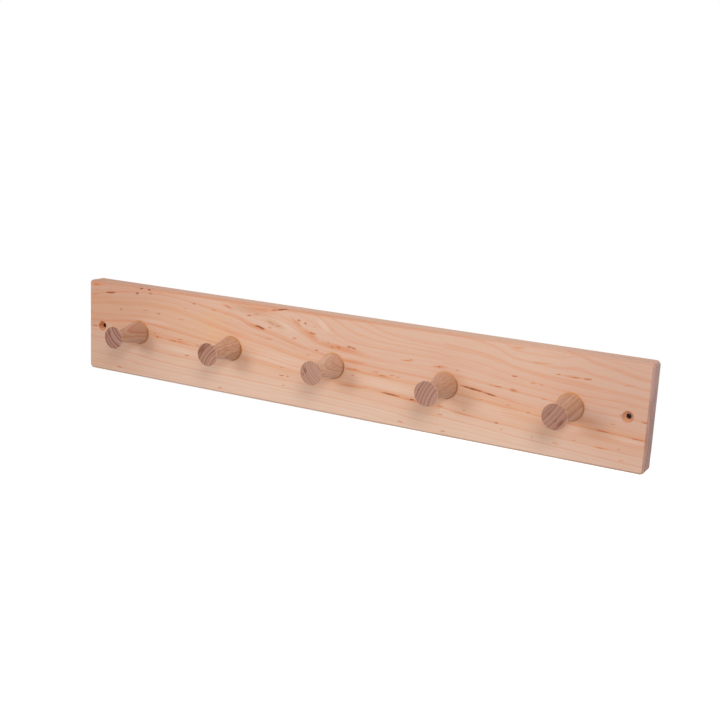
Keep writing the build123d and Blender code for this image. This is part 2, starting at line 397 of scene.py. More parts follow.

# %% [markdown]
# ## Flecks, streaks and warm patches
# Insects and old injuries leave short dark flecks and orange streaks in maple, birch and alder, and these
# make one board different from the next. Scattering them by chance would give one of the right kind but not
# this board, so the ones that catch the eye are placed one by one, as soft leaning ovals a few millimetres
# deep.

# %% Flecks placed one by one
# Each is (along the board, height, length, thickness, lean in degrees), in mm from the middle of the face
DARK_FLECKS = [
    (-271.0, 36.9, 17.0, 2.6, 6),
    (-235.4, 40.3, 6.0, 2.4, 8),
    (-230.2, 46.0, 5.6, 1.9, 8),
    (-220.0, 45.8, 6.0, 1.7, -14),
    (-85.0, 26.0, 11.0, 2.2, -6),
    (-80.9, 25.0, 6.5, 2.4, -16),
    (-59.0, 45.9, 19.0, 1.5, 11),
    (84.5, -18.6, 6.0, 1.6, 0),
]
BROWN_FLECKS = [
    (-217.9, 42.1, 5.0, 2.5, 0),
    (-162.5, 38.5, 5.0, 2.0, -6),
    (-96.5, 35.5, 8.0, 1.8, 6),
    (-39.2, 38.1, 4.6, 2.9, 0),
    (-32.0, 36.3, 4.4, 2.9, 0),
    (5.4, 18.3, 4.6, 2.4, 0),
    (245.5, 26.3, 9.0, 2.4, 4),
    (297.0, -2.6, 8.0, 1.5, 0),
    (-290.5, 43.3, 13.0, 2.6, 3),
    (-256.7, 20.8, 6.0, 2.2, 0),
    (-224.6, 23.8, 7.0, 1.2, 6),
    (-207.5, 22.8, 5.0, 2.0, -6),
    (-212.5, 1.5, 5.0, 1.3, 4),
    (-208.8, -1.8, 6.0, 2.4, 0),
    (-187.3, -2.8, 7.0, 2.2, -4),
    (-180.0, -0.2, 8.0, 1.1, 4),
    (-179.5, -2.5, 8.0, 1.1, 4),
    (-170.8, -15.4, 9.0, 1.3, 2),
    (-258.3, -41.1, 10.0, 1.9, -4),
    (-291.5, -1.1, 11.0, 1.9, 3),
    (-70.6, 31.3, 10.0, 1.1, -27),
    (-62.4, 29.4, 9.0, 1.1, 4),
    (-68.0, 44.2, 7.0, 2.2, 0),
    (-24.5, 28.2, 4.0, 1.6, -6),
    (-18.3, 12.1, 5.0, 2.0, 3),
    (-56.5, -18.3, 8.0, 1.3, 8),
    (-49.5, -18.1, 5.5, 1.1, 4),
    (-54.6, -27.9, 6.0, 1.1, 4),
    (-1.7, 17.5, 4.0, 2.0, 0),
    (-6.0, 21.2, 3.6, 1.5, 0),
    (16.5, 20.5, 8.0, 2.6, 2),
    (21.5, 19.9, 7.0, 2.5, -8),
    (109.0, 16.0, 7.0, 1.6, 10),
    (23.5, 0.0, 4.0, 1.3, 2),
    (53.0, -1.3, 9.0, 1.3, 5),
    (235.0, 25.8, 10.0, 1.3, 0),
    (180.8, 18.5, 5.5, 1.6, 3),
    (166.5, 7.1, 9.0, 1.2, -4),
    (180.9, 5.6, 5.5, 1.8, 0),
    (179.5, 7.0, 4.0, 1.0, 12),
    (262.0, -15.9, 14.0, 1.6, -5),
    (167.5, -25.6, 5.0, 2.2, 3),
    (292.0, -17.7, 18.0, 1.4, -2),
]
FAINT_FLECKS = [
    (-43.5, 20.2, 7.0, 2.2, 2),
    (-23.5, 27.8, 10.0, 3.4, -6),
    (113.0, -20.1, 8.0, 1.4, 4),
    (276.3, 0.4, 4.0, 1.6, 12),
    (77.5, 16.7, 7.0, 1.2, 4),
    (127.0, 15.3, 5.0, 1.6, -5),
    (18.0, -0.1, 8.0, 1.5, 2),
    (46.0, 1.2, 13.0, 1.4, 4),
    (62.5, 0.6, 9.0, 1.4, 7),
    (21.7, -5.8, 5.0, 1.9, 4),
    (113.3, -27.6, 6.0, 1.6, 5),
    (220.0, 26.3, 7.0, 1.8, 3),
    (209.0, 2.8, 7.0, 1.4, 0),
    (177.0, -7.9, 5.0, 1.4, 3),
    (195.8, -11.3, 6.0, 1.6, 3),
    (270.4, -8.5, 5.0, 1.5, 0),
    (261.7, -30.7, 11.0, 1.4, 2),
    (-290.0, 37.9, 9.0, 1.3, 4),
    (-291.0, 32.4, 12.0, 1.4, 12),
    (-297.5, 14.2, 5.0, 2.4, 0),
    (-179.2, 20.4, 8.0, 1.2, 3),
    (-173.8, 32.3, 6.0, 1.3, 3),
    (-192.0, -3.0, 9.0, 1.4, -4),
    (-157.5, -3.3, 5.0, 2.4, 0),
    (-121.5, 40.8, 11.0, 1.5, -22),
    (-139.0, 35.0, 8.0, 1.3, -4),
    (-124.0, 32.9, 8.0, 1.2, -4),
    (-88.0, 37.3, 10.0, 1.1, 5),
    (-71.7, 26.8, 7.0, 1.9, 3),
    (-73.0, 15.6, 12.0, 1.3, -3),
    (-22.0, 33.9, 4.0, 1.2, 0),
    (-11.0, 20.9, 3.0, 1.4, 0),
    (-28.0, 6.1, 7.0, 1.1, 4),
    (-56.7, -10.3, 6.0, 1.2, 4),
    (-128.8, -42.5, 8.0, 1.8, 4),
    (3.3, 20.0, 2.5, 1.1, 0),
    (36.7, -15.0, 3.0, 1.0, 3),
    (69.0, -0.2, 6.0, 1.6, 0),
    (82.0, 18.3, 4.0, 0.8, 5),
    (73.8, -41.3, 8.0, 1.6, -4),
    (116.7, -42.6, 6.0, 1.6, 4),
    (135.8, -19.7, 5.0, 1.2, 4),
    (152.0, -7.2, 5.0, 1.2, 0),
    (198.3, 15.4, 7.0, 1.4, 3),
    (205.8, 14.8, 5.0, 1.4, -6),
    (172.5, -30.8, 5.0, 1.3, 0),
    (201.0, -32.5, 3.0, 1.4, 0),
    (222.0, -33.8, 10.0, 1.3, -4),
    (238.8, -28.3, 5.0, 1.2, 3),
    (277.0, -29.0, 4.0, 1.3, -4),
    (281.0, -38.0, 6.0, 1.5, 0),
    (280.0, 26.2, 12.0, 0.9, 4),
    (284.0, 9.4, 10.0, 0.7, 0),
]
HATCHED_STREAKS = [
    (62.5, -17.4, 25.0, 2.2, -3),
    (143.0, 1.0, 30.0, 2.2, -6),
    (160.0, -1.3, 14.0, 2.0, -8),
]
WARM_PATCHES = [
    # a long band along the top edge: partly warmer wood, partly painted shade on the top bevel lit from above
    (-60.0, 48.2, 800.0, 9.0, 0),
    (-290.0, 43.6, 30.0, 6.0, 2),
    (-80.0, 43.6, 42.0, 6.4, 3),
    (-64.0, 45.6, 36.0, 4.6, 8),
    (-86.0, 25.2, 30.0, 6.5, -10),
    (-41.0, 35.0, 26.0, 4.8, -34),
    (-26.0, 26.0, 32.0, 8.0, -26),
    (8.0, 18.0, 74.0, 8.5, -4),
    (22.0, 7.3, 40.0, 5.6, -1),
    (22.0, -0.2, 24.0, 4.0, -1),
    (53.0, -1.4, 24.0, 3.0, -3),
    (77.0, 16.8, 22.0, 3.0, 6),
    (110.0, 15.8, 24.0, 3.8, 4),
    (20.0, -16.3, 44.0, 4.0, 0),
    (86.0, -19.6, 50.0, 3.8, -4),
    (134.0, -23.2, 34.0, 3.0, -4),
    (-208.0, -1.6, 22.0, 5.0, -3),
    (-180.0, -3.2, 46.0, 4.6, -4),
    (-122.0, 40.8, 20.0, 4.0, -16),
    (147.0, 0.4, 44.0, 4.0, -7),
    (181.0, 6.0, 14.0, 4.4, 0),
    (163.0, 6.8, 22.0, 2.6, -3),
    (233.0, 26.0, 36.0, 3.0, 0),
    (203.0, 33.6, 28.0, 1.8, 4),
    (182.0, 44.0, 18.0, 2.6, 4),
    (262.0, -30.6, 22.0, 3.0, -1),
]
EARLY_POOLS = [
    (58.0, -9.5, 110.0, 12.0, -3),
    (160.0, -16.0, 80.0, 11.0, -4),
    (236.0, -20.0, 28.0, 8.0, 0),
    (-180.0, -11.5, 70.0, 9.0, -3),
    (-60.0, -3.0, 110.0, 18.0, -5),
    (-218.0, 13.0, 80.0, 9.0, 2),
    (-56.0, 30.0, 40.0, 12.0, -18),
    (-12.0, 37.0, 28.0, 10.0, -40),
    (-235.0, -22.0, 44.0, 8.0, -4),
    (285.0, -21.0, 40.0, 8.0, -3),
]
YELLOW_PATCHES = [
    (-138.0, 20.0, 46.0, 60.0, 0),
    (-120.0, 31.0, 30.0, 9.0, -14),
]
SHADED_PATCHES = [
    (-96.0, 41.0, 70.0, 13.0, -4),
    (-66.0, 31.0, 40.0, 10.0, -14),
    (122.0, 8.0, 40.0, 18.0, -3),
    (246.0, -9.0, 34.0, 12.0, -3),
]
FLECK_DEPTH = 5.0
PATCH_FADE = (0.0, 0.9)      # the part of a patch's oval, from its edge inwards, over which it fades in


def ovals(tree, place, rows, face=FACE_Y):
    """A soft mask of leaning ovals just under a face of the wood."""
    mask = 0.0
    for along, height, length, thickness, lean in rows:
        spot = step(
            tree,
            "Mapping",
            place,
            (along, face / MM, height),
            (0.0, -math.radians(lean), 0.0),
            (length / 2, FLECK_DEPTH, thickness / 2),
            vector_type="TEXTURE",
        )
        oval = step(tree, "TexGradient", spot, gradient_type="SPHERICAL")
        mask = sums(tree, "MAXIMUM", oval.node.outputs["Fac"], mask)
    return mask


def lay(tree, wood, mask, colour, most, fade=PATCH_FADE):
    """Lays a colour over the wood where a mask is strong, up to the share it may cover at most."""
    return tint(tree, smooth_range(tree, mask, *fade, 0.0, most), wood, colour)


print(len(DARK_FLECKS) + len(BROWN_FLECKS) + len(FAINT_FLECKS), "flecks placed by hand")

# %% [markdown]
# ## The board's wood
# Pale sanded maple or alder, seen close, is four things at once: the yearly lines, the flecks, a fine haze of
# fibres along the board, and clouds of pink and yellow wood. On both ends the fibres are cut across, so the
# end grain drinks in light: it is darker and greyer. Each of them is a layer, which keeps it easy to change.

# %% Wood along the grain
PALE_WOOD = rgb(221, 183, 161)          # above the strongest line
HONEY_WOOD = rgb(223, 181, 154)         # below it, through the middle of the board
OUTER_WOOD = rgb(225, 194, 174)         # along the bottom
EARLY_WOOD = rgb(230, 200, 182)         # pools of soft wood from the start of a year
YELLOW_WOOD = rgb(230, 184, 134)
LATE_WOOD = rgb(218, 136, 88)
WARM_WOOD = rgb(214, 144, 104)
SHADED_WOOD = rgb(203, 154, 123)
FIBRE_SHADE = rgb(253, 238, 222)
LEFT_END_PAINTED_SHADE = rgb(234, 225, 221)        # painted shade: the board is darker towards the left end
LEFT_END_SHADE_REACH = (-310.0, -110.0)
RIGHT_END_PAINTED_SHADE = rgb(243, 239, 240)         # and painted shade, a little greyer, towards the right end
RIGHT_END_SHADE_REACH = (190.0, 292.0)
HONEY_YEARS = (7.5, 9.0)                # lines from the top over which the wood turns honey
OUTER_YEARS = (10.5, 13.5)
TRACED_SHARE = 0.85                     # how far late wood covers the pale wood where a line is strongest
OUTER_SHARE = 0.52                      # and in the outer years along the bottom
BROKEN_GRAIN = (0.025, 0.25, 0.25)
BROKEN_LINES = (0.3, 0.6, 0.65, 1.0)    # where this noise is low, a line keeps 0.65 of its strength
FINE_GRAIN = (4.0, 3.0, 0.6)            # faint lines between two traced ones, their detail and roughness
FINE_LINES = (0.48, 0.72, 0.0, 0.24)    # from which noise a fine line shows, and how strongly
POOL_SHARE = 0.7
YELLOW_SHARE = 0.3
SHADED_SHARE = 0.6
FIBRE_HAZE = (0.45, 0.7, 0.0, 0.4)


def late_lines(tree, place, height, lines, year):
    """The traced lines, broken here and there, and faint fine lines that run between them."""
    traced = late_wood_above(tree, height, lines)
    broken = cloudy(tree, place, BROKEN_GRAIN)
    traced = times(tree, traced, smooth_range(tree, broken, *BROKEN_LINES))
    traced = times(tree, traced, smooth_range(tree, year, *OUTER_YEARS, TRACED_SHARE, OUTER_SHARE))
    fine = step(tree, "TexNoise", None, year, *FINE_GRAIN, noise_dimensions="1D")
    return sums(tree, "ADD", traced, smooth_range(tree, fine, *FINE_LINES))


def board_wood(tree, place, fibres):
    """The board's colour along the grain: the age of the wood, its late lines, then the haze of fibres."""
    lines = traced_lines(tree, place)
    height = height_on_face(tree, place)
    year = year_here(tree, height, lines)
    wood = tint(tree, smooth_range(tree, year, *HONEY_YEARS), PALE_WOOD, HONEY_WOOD)
    wood = tint(tree, smooth_range(tree, year, *OUTER_YEARS), wood, OUTER_WOOD)
    wood = lay(tree, wood, ovals(tree, place, EARLY_POOLS), EARLY_WOOD, POOL_SHARE)
    wood = lay(tree, wood, ovals(tree, place, YELLOW_PATCHES), YELLOW_WOOD, YELLOW_SHARE)
    wood = lay(tree, wood, ovals(tree, place, SHADED_PATCHES), SHADED_WOOD, SHADED_SHARE)
    wood = tint(tree, late_lines(tree, place, height, lines, year), wood, LATE_WOOD)
    wood = tint(tree, smooth_range(tree, fibres, *FIBRE_HAZE), wood, FIBRE_SHADE, "MULTIPLY")
    # painted shade: the face is darkened towards both ends, where the lamps' light falls off
    x = step(tree, "SeparateXYZ", place)
    wood = tint(tree, smooth_range(tree, x, *RIGHT_END_SHADE_REACH), wood, RIGHT_END_PAINTED_SHADE, "MULTIPLY")
    return tint(tree, smooth_range(tree, x, *LEFT_END_SHADE_REACH, 1.0, 0.0), wood, LEFT_END_PAINTED_SHADE, "MULTIPLY")


print("a year is darkest as", [round(c, 2) for c in LATE_WOOD[:3]])

# %% [markdown]
# ## Laying the flecks into the wood
# A fleck drawn as a clean oval looks like a sticker. Real ones are torn along the fibres, so the place is
# shaken a little before the ovals are measured. Three dark streaks are also crossed by fine slanting ticks.

# %% Lay in the flecks
FLECK_FAINT = rgb(208, 132, 88)
FLECK_BROWN = rgb(190, 112, 72)
FLECK_DARK = rgb(142, 80, 52)
SHAKE = (5.0, 0.0, 1.3)      # mm along the board, through it and up it
SHAKE_GRAIN = (0.3, 0.9, 0.9)
TICK_SPACING = 1.3
TICK_SLANT = (1.0, 0.0, 0.8)
TICK_EDGE = (-1.0, 0.6, 0.35, 1.0)   # between two ticks the streak keeps 0.35 of its strength
WARM_SHARE = 0.75
FAINT_SHARE = 0.8
BROWN_SHARE = 0.85
DARK_SHARE = 0.9
# The part of its oval, from the edge inwards, over which each kind fades in
FLECK_FADE = (0.05, 0.6)
STREAK_FADE = (0.0, 0.4)
TICKED_FADE = (0.25, 0.7)
BROWN_EDGE_FADE = (0.0, 0.35)
DARK_FADE = (0.2, 0.6)


def shaken(tree, place):
    """The place on the board, moved about a little so that ovals come out ragged."""
    push = cloudy(tree, place, SHAKE_GRAIN).node.outputs["Color"]
    centred = step(tree, "VectorMath", push, (0.5, 0.5, 0.5), operation="SUBTRACT")
    return step(tree, "VectorMath", centred, SHAKE, place, operation="MULTIPLY_ADD")


def ticks(tree, place):
    """Fine slanting ticks across a streak, 0 to 1."""
    slant = step(tree, "VectorMath", place, TICK_SLANT, operation="DOT_PRODUCT").node.outputs["Value"]
    wave = sums(tree, "SINE", times(tree, slant, math.tau / TICK_SPACING))
    return smooth_range(tree, wave, *TICK_EDGE)


def lay_in_flecks(tree, place, wood):
    """Warm patches first, then brown flecks, ticked streaks and the darkest flecks with a brown edge."""
    torn = shaken(tree, place)
    wood = lay(tree, wood, ovals(tree, torn, WARM_PATCHES), WARM_WOOD, WARM_SHARE)
    wood = lay(tree, wood, ovals(tree, torn, FAINT_FLECKS), FLECK_FAINT, FAINT_SHARE, FLECK_FADE)
    wood = lay(tree, wood, ovals(tree, torn, BROWN_FLECKS), FLECK_BROWN, BROWN_SHARE, FLECK_FADE)
    streak = ovals(tree, torn, HATCHED_STREAKS)
    wood = lay(tree, wood, streak, FLECK_BROWN, FAINT_SHARE, STREAK_FADE)
    ticked = times(tree, smooth_range(tree, streak, *TICKED_FADE), ticks(tree, place))
    wood = tint(tree, ticked, wood, FLECK_DARK)
    dark = ovals(tree, torn, DARK_FLECKS)
    wood = lay(tree, wood, dark, FLECK_BROWN, BROWN_SHARE, BROWN_EDGE_FADE)
    return lay(tree, wood, dark, FLECK_DARK, DARK_SHARE, DARK_FADE)


print(len(HATCHED_STREAKS), "streaks carry ticks", TICK_SPACING, "mm apart")

# %% [markdown]
# ## The cut ends and the finished board
# Where fibres are cut across, on the two ends and on the side walls of a screw hole, they stand like a
# bundle of straws and look darker and greyer. The way that a surface faces says where that is, so one recipe
# covers the whole board and no edge has to be painted.

# %% Finish the board
END_PALE = rgb(199, 163, 156)
END_DARK = rgb(152, 112, 104)
# a paler colour for the upper part of each end
END_UPPER_PALE = rgb(208, 172, 164)
END_PALER_HEIGHTS = (12.0, 28.0)  # mm above the middle over which the end turns paler
# painted shade for the bevels: the top one is lit strongly from above, and the bottom one faces down into
# shade
BEVEL_PAINTED_SHADE = rgb(243, 237, 235)
CRATER_PALE = rgb(212, 156, 124)
CRATER_DARK = rgb(176, 96, 48)
# painted shade: the narrow bore is painted almost black
BORE_PAINTED_SHADE = rgb(44, 12, 4)
# glue soaked into the face round each peg's foot, together with painted contact shade there
GLUE_SOAK_AND_SHADE = rgb(204, 148, 84)
SANDED_FIBRE_DEPTH = 0.02
BOARD_ROUGHNESS = 0.6
BOARD_SHINE = 0.15
CRATER_REACH = 6.0           # mm from a screw hole's axis, just past its mouth
BORE_REACH = 2.6             # mm from the axis, just past the narrow bore
COUNTERSINK_FLOOR = 3.0      # mm below the face, where the narrow bore begins
SOAKED_REACH = (11.8, 13.2)  # mm from a peg's axis over which glue stain and painted contact shade fade out
SOAKED_DEPTH = 2.0           # mm below the face that the glue has reached
SOAKED_SHARE = 0.6
SOAKED_GRAIN = (0.15, 0.15, 0.15)
SOAKED_WANDER = 1.6          # mm by which the edge of the glue stain wanders
END_FACING = (0.5, 0.85)     # how squarely a surface faces along the board where end grain starts and is full
BEVEL_FACING = (0.2, 0.5)    # how far a surface turns to the front where a bevel starts and is full
FLAT_FACING = (0.85, 0.98)   # and where it ends at the flats
END_SPECKLE = (0.6, 1.6, 0.9)
END_STREAKS = (0.3, 0.9, 0.06)
END_CONTRAST = (0.38, 0.62)
END_PALER_SHARE = 0.45
TORN_GRAIN = (0.5, 0.8, 0.8)
TORN_CONTRAST = (0.35, 0.55)
TORN_FADE = 3.0              # mm either side of the left hole's axis over which the tearing gets less
LEAST_TORN = 0.3
HOLE_EDGE = (0.05, 0.4)      # mm in from the face and from the back over which raw wood begins
BORE_FADE = 3.0              # mm over which painted shade darkens the narrow bore
FIBRE_GRAIN = (0.05, 1.3, 1.3)


def cut_across(tree, normal):
    """1 where the surface faces along the board, so that its fibres end there, and 0 along the grain."""
    facing = step(tree, "SeparateXYZ", normal)
    return smooth_range(tree, sums(tree, "ABSOLUTE", facing), *END_FACING)


def on_bevel(tree, normal):
    """1 on the bevels, which face half to the front and half aside, and 0 on the flats."""
    forwards = sums(tree, "ABSOLUTE", parts(tree, normal)["Y"])
    rising = smooth_range(tree, forwards, *BEVEL_FACING)
    return times(tree, rising, smooth_range(tree, forwards, *FLAT_FACING, 1.0, 0.0))


def end_grain(tree, place):
    """Speckled cut fibres with streaks running up the end of the board, paler towards the top."""
    speckle = cloudy(tree, place, END_SPECKLE, 4.0, 0.65)
    streaks = cloudy(tree, place, END_STREAKS)
    shade = sums(tree, "MULTIPLY_ADD", speckle, 0.5, times(tree, streaks, 0.5))
    wood = tint(tree, smooth_range(tree, shade, *END_CONTRAST), END_PALE, END_DARK)
    return lay(tree, wood, parts(tree, place)["Z"], END_UPPER_PALE, END_PALER_SHARE, END_PALER_HEIGHTS)


def drilled_wood(tree, place, outside):
    """Raw wood inside the two screw holes: paler at the right end, with painted shade down the narrow bore."""
    x, y, z = parts(tree, place)
    from_axis = hypotenuse(tree, minus(tree, sums(tree, "ABSOLUTE", x), SCREW_X / MM), z)
    torn = smooth_range(tree, cloudy(tree, place, TORN_GRAIN), *TORN_CONTRAST)
    left = -SCREW_X / MM
    torn = times(tree, torn, smooth_range(tree, x, left - TORN_FADE, left + TORN_FADE, 1.0, LEAST_TORN))
    raw = tint(tree, torn, CRATER_PALE, CRATER_DARK)
    below = minus(tree, y, FACE_Y / MM)
    before_back = minus(tree, board_high.y / MM, y)
    within = times(tree, smooth_range(tree, below, *HOLE_EDGE), smooth_range(tree, before_back, *HOLE_EDGE))
    inside = times(tree, within, sums(tree, "LESS_THAN", from_axis, CRATER_REACH))
    narrow = times(tree, within, sums(tree, "LESS_THAN", from_axis, BORE_REACH))
    deep = smooth_range(tree, below, COUNTERSINK_FLOOR, COUNTERSINK_FLOOR + BORE_FADE)
    # painted shade: the deep bore is painted almost black
    return tint(tree, times(tree, narrow, deep), tint(tree, inside, outside, raw), BORE_PAINTED_SHADE)


def from_nearest_peg(tree, place):
    """How far right of the nearest peg's axis a point is, and how far above it."""
    x, y, z = parts(tree, place)
    pitch = (peg_axes["peg_2"].x - peg_axes["peg_1"].x) / MM
    return sums(tree, "WRAP", x, pitch / 2, -pitch / 2), z


def soaked_and_shaded_round_pegs(tree, place, wood):
    """Wood of the face round each peg's foot, darkened by the glue it drank in and by painted contact shade.
    """
    from_axis = hypotenuse(tree, *from_nearest_peg(tree, place))
    from_axis = sums(tree, "MULTIPLY_ADD", wavering(tree, place, SOAKED_GRAIN), SOAKED_WANDER, from_axis)
    below = minus(tree, parts(tree, place)["Y"], FACE_Y / MM)
    soaked = smooth_range(tree, from_axis, *SOAKED_REACH, SOAKED_SHARE, 0.0)
    soaked = times(tree, soaked, smooth_range(tree, below, 0.0, SOAKED_DEPTH, 1.0, 0.0))
    # partly glue stain, partly painted shade where the peg meets the face
    return tint(tree, soaked, wood, GLUE_SOAK_AND_SHADE)


def finish_board():
    """The whole board: long-grain wood with its flecks, turning into end grain where it is cut across."""
    material, tree, surface, place, normal = new_finish("sanded_board", BOARD_ROUGHNESS, BOARD_SHINE)
    fibres = cloudy(tree, place, FIBRE_GRAIN, 4.0, 0.6)
    wood = lay_in_flecks(tree, place, board_wood(tree, place, fibres))
    wood = soaked_and_shaded_round_pegs(tree, place, wood)
    # painted shade: the bevels are darkened where they turn away from the face
    wood = tint(tree, on_bevel(tree, normal), wood, BEVEL_PAINTED_SHADE, "MULTIPLY")
    outside = tint(tree, cut_across(tree, normal), wood, end_grain(tree, place))
    feed(tree, drilled_wood(tree, place, outside), surface.inputs["Base Color"])
    raise_grain(tree, surface, fibres, SANDED_FIBRE_DEPTH)
    return material


board.material_slots[0].material = finish_board()
print("board finished with", len(board.material_slots[0].material.node_tree.nodes), "steps")

# %% [markdown]
# ## Wood for the pegs
# The pegs are turned from squares of a browner, open-pored wood, each from another stick, so their rings run
# differently. Every peg gets the place of its own tree's heart, and how dark its wood is at each
# distance from there: a year darkens slowly and stops dead. The rings are cylinders through the whole peg, so
# the circles on the head and the long tongues down the side agree of themselves.

# %% The stick that each peg was turned from
RING_WAVER = (0.18, 0.05, 0.18)   # how fast a ring strays from a true circle, across, along and up the peg
# Where the tree's heart was, in mm (right of the peg's axis, above it): level with the head, then the board
STICK_HEARTS = {
    "peg_1": ((17, 16), (17, 16)),
    "peg_2": ((26, -20), (27, -20)),
    "peg_3": ((20, 14), (14, 10)),
    "peg_4": ((36, -16), (37, -16)),
    "peg_5": ((-72, 54), (-73, 54)),
}
# How dark the wood is, from the heart outwards: (mm from the heart, 0 for the palest to 1 for the darkest)
STICK_YEARS = {
    "peg_1": [(11, 0.1), (14.6, 0.2), (15.7, 1), (16.2, 1), (16.6, 0), (18, 0.25), (18.8, 0.7), (19.6, 1),
              (20.2, 0), (22.5, 0), (24.5, 0.35), (25.6, 0.75), (26.3, 1), (26.9, 0.1), (28.6, 0.2),
              (29.9, 1), (30.6, 0.1), (31.8, 0.3), (33, 0.9), (33.7, 0.3), (36, 0.6)],
    "peg_2": [(21, 0.2), (22.4, 0.4), (23, 0.1), (24, 0.3), (24.8, 1), (25.3, 0), (27.3, 0.15), (28.4, 0.6),
              (29.1, 0), (30, 0.4), (31, 1), (31.7, 0), (33.2, 0.2), (34.4, 0.8), (35.1, 0.1), (36.4, 0.4),
              (37, 0.15), (37.8, 0.6), (38.7, 1), (39.4, 0.35), (40.8, 0.6), (41.8, 1), (42.5, 0.2),
              (44.5, 0.5)],
    "peg_3": [(5, 0.3), (7.2, 0.45), (7.6, 0.2), (8.8, 0.25), (9.7, 0.7), (11, 0.45), (12.6, 0.15),
              (13.5, 0.4), (14.4, 1), (14.9, 0), (16.8, 0.5), (17.4, 0), (18.4, 0.2),
              (19.4, 0.6), (20, 0.1), (20.8, 0.3), (21.8, 0.8), (22.4, 0.1), (23.6, 0.3), (24.6, 0.75),
              (25.2, 0.1), (26.5, 0.3), (27.5, 0.75), (28.1, 0.1), (28.9, 0.4), (29.9, 1), (30.5, 0.2),
              (31.6, 0.3), (32.5, 0.7), (33.1, 0.2), (34.6, 0.6), (35.2, 0.2)],
    "peg_4": [(27, 0.1), (29.4, 0.15), (30.5, 0.4), (31.1, 0), (33, 0.25), (34.4, 1), (35, 0), (36.6, 0.2),
              (37.9, 0.8), (38.5, 0.1), (40, 0.3), (41.2, 0.9), (41.8, 0.1), (43.1, 0.3), (44.2, 0.8),
              (44.8, 0.1), (46, 0.4), (47, 1), (47.6, 0.1), (49, 0.2), (50.2, 0.6), (51, 0.2)],
    "peg_5": [(78, 0.1), (80.5, 0.2), (82.6, 0.7), (83.4, 0.35), (84.3, 0.5), (85.6, 1), (86.2, 0),
              (87.6, 0.15), (88.6, 0.5), (89.3, 0.75), (89.9, 0.1), (91.2, 0.3), (92.8, 1), (93.4, 0.25),
              (95, 0.35), (97, 0.75), (98.3, 1), (98.9, 0), (100.5, 0.1), (101.6, 0.5), (102.2, 0.1)],
}


def from_stick_heart(tree, place, name):
    """Distance of each point of a peg from the heart of its stick, in mm."""
    axis = peg_axes[name] / MM
    at_head, at_board = STICK_HEARTS[name]
    x, y, z = parts(tree, place)
    along = (y, HEAD_Y / MM, FACE_Y / MM)
    heart_x = step(tree, "MapRange", *along, axis.x + at_head[0], axis.x + at_board[0])
    heart_z = step(tree, "MapRange", *along, axis.z + at_head[1], axis.z + at_board[1])
    distance = hypotenuse(tree, minus(tree, x, heart_x), minus(tree, z, heart_z))
    return sums(tree, "ADD", wavering(tree, place, RING_WAVER), distance)


print({name: len(years) for name, years in STICK_YEARS.items()}, "shades from heart to bark")

# %% [markdown]
# ## Pores, stains and the two faces of turned wood
# Open-pored wood is full of tiny tubes along the grain. On the head they are cut across and show as dots, on
# the side they are sliced and show as streaks. Noise squeezed across the peg and drawn out along it gives
# both. The head is end grain too, so it is greyer, while the side keeps the wood's warmth. Brown stains that
# follow no ring are laid on the heads one by one, as the flecks on the board were.

# %% Finish the pegs
# (along the rail, height, length, thickness, lean in degrees), in mm, like the flecks
HEAD_STAINS = {
    "peg_1": [(-237.5, 4.4, 11.0, 4.6, 85), (-241.4, 1.2, 8.0, 2.6, 95)],
    "peg_2": [(-122.6, 4.2, 16.0, 7.0, 50)],
    "peg_3": [(-6.2, 1.9, 9.0, 4.6, -68), (-8.2, -2.3, 5.0, 2.4, -60)],
    "peg_4": [(109.2, 2.7, 3.0, 2.0, 60)],
    "peg_5": [(238.2, -4.6, 12.0, 5.0, 52), (233.6, -3.2, 6.0, 2.0, 53), (227.8, 1.7, 5.0, 2.0, 50)],
}
# The wood of a peg's side, the wood of its head, and how strongly its rings show on the side and on the head,
# then how strongly the sliced pores streak the side
PEG_TONES = {
    "peg_1": (rgb(192, 149, 124), rgb(162, 125, 111), 0.5, 1.0, 0.25),
    "peg_2": (rgb(202, 160, 133), rgb(176, 135, 115), 0.5, 0.92, 0.55),
    "peg_3": (rgb(214, 175, 150), rgb(190, 149, 129), 0.5, 0.7, 0.3),
    "peg_4": (rgb(195, 151, 125), rgb(180, 138, 122), 0.32, 0.76, 0.32),
    "peg_5": (rgb(197, 156, 130), rgb(173, 130, 113), 0.62, 0.6, 0.22),
}
# Nearer the heart than this the side is browner: (mm from the heart, how much)
BROWN_HEARTS = {"peg_1": (16.4, 0.3), "peg_2": (25.0, 0.25), "peg_3": (14.3, 0.15)}
HEART_BROWN = rgb(150, 100, 80)
RING_SIDE = rgb(166, 94, 54)
RING_HEAD = rgb(124, 60, 36)
STAIN_BROWN = rgb(118, 60, 34)
# painted highlight: a paler rim, as if the head's front edge catches the light
RIM_PAINTED_HIGHLIGHT = rgb(216, 166, 130)
PORE_DARK = rgb(162, 98, 58)
# glue stain on each peg's foot, which is also painted shade at its lower right
GLUE_STAIN_AND_SHADE = rgb(160, 102, 54)
GLUE_CLIMB = (0.8, 3.0)      # mm up the peg's foot that glue stain and painted shade reach: least at upper left, most at lower right
RIM_REACH = 1.4              # mm behind the head's front over which the rim gets its painted highlight
PEG_ROUGHNESS = 0.56
PEG_SHINE = 0.35
PEG_DUST = 0.15              # how much the fine fibres left by sanding whiten a side seen at a slant
PORE_DEPTH = 0.03
PORE_GRAIN = (1.3, 0.1, 1.3)
PORE_CONTRAST = (0.54, 0.7)
PORE_SHARE = 0.25
STREAK_GRAIN = (0.75, 0.08, 0.75)
STREAK_CONTRAST = (0.5, 0.66)
STREAKS_ON_HEAD = 0.25       # share of the streaks that is left on the head
HEAD_FACING = (0.8, 0.95)    # how squarely a surface faces out where the head starts and is full
HEART_EDGE = 0.6             # mm over which the brown of the heart ends
RIM_EDGE = 0.3
RIM_SHARE = 0.8
STAIN_FADE = (0.0, 0.8)
STAIN_SHARE = 0.65
